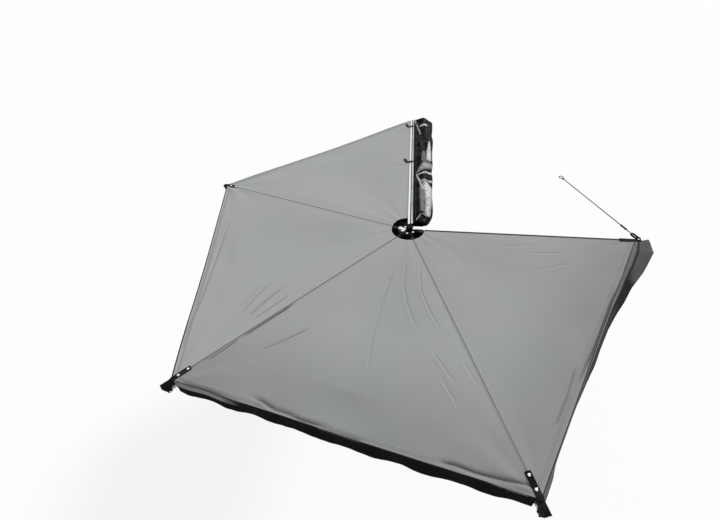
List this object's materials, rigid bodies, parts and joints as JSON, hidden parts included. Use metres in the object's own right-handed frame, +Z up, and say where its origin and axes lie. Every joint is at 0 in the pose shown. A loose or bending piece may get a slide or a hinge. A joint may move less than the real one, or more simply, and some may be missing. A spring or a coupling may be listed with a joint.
{
  "type": "vehicle side awning",
  "caption": "Fan-shaped side awning: fabric panels on hinged booms that swing out from a rack-mounted rail, with fold-down telescopic legs, skirts, a travel cover and a guy line.",
  "frame": {"origin": "centre of the underside of the rear rack bracket's foot, where it rests on a crossbar", "axes": "+Z up, +Y the vehicle's forward direction along the base rail, +X inboard, towards the vehicle"},
  "size_m": [3.7802, 4.035, 0.3179],
  "materials": {
    "aluminium": "satin anodised extrusion",
    "black_casting": "black powder coat",
    "black_steel": "black powder coat on steel plate",
    "bright_steel": "plated",
    "canopy_cloth": "grey coated canvas",
    "cord": "black braided cord",
    "cover_cloth": "glossy black PVC-coated cloth",
    "dark_cloth": "black coated canvas",
    "grey_casting": "cast, dark grey",
    "leg_tube": "grey anodised tube",
    "moulding": "black nylon moulding",
    "rubber": "black rubber",
    "webbing": "black woven webbing"
  },
  "bodies": {
    "rail_body": {"base_rail": "aluminium", "rail_end_cap": "moulding", "hinge_base": "black_casting", "hub_guard": "black_casting", "rack_bracket_rear": "black_steel", "rack_bracket_middle": "black_steel", "rack_bracket_front": "black_steel", "travel_cover": "cover_cloth", "tie_strap_front": "webbing", "tie_strap_rear": "webbing"},
    "arm_front": {"link_front": "grey_casting", "hinge_bolt_front": "bright_steel", "boom_front": "aluminium", "tip_plate_front": "black_casting", "canopy_front": "canopy_cloth", "valance_front": "dark_cloth", "leg_bracket_front": "black_casting", "leg_clip_front": "moulding"},
    "arm_side": {"link_side": "grey_casting", "hinge_bolt_side": "bright_steel", "boom_side": "aluminium", "tip_plate_side": "black_casting", "canopy_side": "canopy_cloth", "valance_side": "dark_cloth", "leg_bracket_side": "black_casting", "leg_clip_side": "moulding"},
    "arm_rear": {"link_rear": "grey_casting", "hinge_bolt_rear": "bright_steel", "boom_rear": "aluminium", "tip_plate_rear": "black_casting", "canopy_rear": "canopy_cloth", "valance_rear": "dark_cloth", "leg_bracket_rear": "black_casting", "leg_clip_rear": "moulding"},
    "arm_end": {"link_end": "grey_casting", "hinge_bolt_end": "bright_steel", "boom_end": "aluminium", "tip_plate_end": "black_casting", "canopy_end": "canopy_cloth", "valance_end": "dark_cloth", "corner_ring": "bright_steel", "guy_hook": "black_casting", "guy_cord": "cord", "guy_tensioner": "moulding", "guy_eye": "cord"},
    "leg_front": {"leg_outer_front": "leg_tube", "leg_bolt_front": "bright_steel"},
    "collar_front": {"leg_collar_front": "moulding"},
    "foot_front": {"leg_inner_front": "aluminium", "leg_foot_front": "rubber"},
    "leg_side": {"leg_outer_side": "leg_tube", "leg_bolt_side": "bright_steel"},
    "collar_side": {"leg_collar_side": "moulding"},
    "foot_side": {"leg_inner_side": "aluminium", "leg_foot_side": "rubber"},
    "leg_rear": {"leg_outer_rear": "leg_tube", "leg_bolt_rear": "bright_steel"},
    "collar_rear": {"leg_collar_rear": "moulding"},
    "foot_rear": {"leg_inner_rear": "aluminium", "leg_foot_rear": "rubber"}
  },
  "joints": [
    {"name": "arm_front_swing", "type": "hinge", "parent": "rail_body", "child": "arm_front", "pos_m": [-0.103, -0.075, 0.03], "axis": [0, 0, 1], "range_deg": [-66.7, 0], "deforming": ["canopy_front", "valance_front"]},
    {"name": "arm_side_swing", "type": "hinge", "parent": "arm_front", "child": "arm_side", "pos_m": [-0.12278, -0.12092, 0.03], "axis": [0, 0, 1], "range_deg": [-68.2, 0], "deforming": ["canopy_side", "valance_side"]},
    {"name": "arm_rear_swing", "type": "hinge", "parent": "arm_side", "child": "arm_rear", "pos_m": [-0.08748, -0.15634, 0.03], "axis": [0, 0, 1], "range_deg": [-64.1, 0], "deforming": ["canopy_rear", "valance_rear"]},
    {"name": "arm_end_swing", "type": "hinge", "parent": "arm_rear", "child": "arm_end", "pos_m": [-0.04021, -0.14006, 0.03], "axis": [0, 0, 1], "range_deg": [-72.6, 0], "deforming": ["canopy_end", "valance_end"]},
    {"name": "leg_front_fold", "type": "hinge", "parent": "arm_front", "child": "leg_front", "pos_m": [-1.94426, 0.69075, -0.14603], "axis": [0.3955, 0.9184, 0], "range_deg": [0, 95]},
    {"name": "leg_front_lock_twist", "type": "hinge", "parent": "leg_front", "child": "collar_front", "pos_m": [-0.79764, 0.19694, -0.08344], "axis": [0.9173, -0.395, 0.0501], "range_deg": [0, 90]},
    {"name": "leg_front_extend", "type": "slide", "parent": "leg_front", "child": "foot_front", "axis": [0.9173, -0.395, 0.0501], "range_m": [0, 0.6]},
    {"name": "leg_side_fold", "type": "hinge", "parent": "arm_side", "child": "leg_side", "pos_m": [-1.50199, -1.53062, -0.14493], "axis": [-0.7059, 0.7083, 0], "range_deg": [0, 95]},
    {"name": "leg_side_lock_twist", "type": "hinge", "parent": "leg_side", "child": "collar_side", "pos_m": [-0.61767, -0.64939, -0.08234], "axis": [0.7075, 0.705, 0.0501], "range_deg": [0, 90]},
    {"name": "leg_side_extend", "type": "slide", "parent": "leg_side", "child": "foot_side", "axis": [0.7075, 0.705, 0.0501], "range_m": [0, 0.6]},
    {"name": "leg_rear_fold", "type": "hinge", "parent": "arm_rear", "child": "leg_rear", "pos_m": [0.57233, -1.99578, -0.14402], "axis": [-0.9455, -0.3256, 0], "range_deg": [0, 95]},
    {"name": "leg_rear_lock_twist", "type": "hinge", "parent": "leg_rear", "child": "collar_rear", "pos_m": [0.16588, -0.81537, -0.08144], "axis": [-0.3252, 0.9443, 0.0501], "range_deg": [0, 90]},
    {"name": "leg_rear_extend", "type": "slide", "parent": "leg_rear", "child": "foot_rear", "axis": [-0.3252, 0.9443, 0.0501], "range_m": [0, 0.6]}
  ]
}
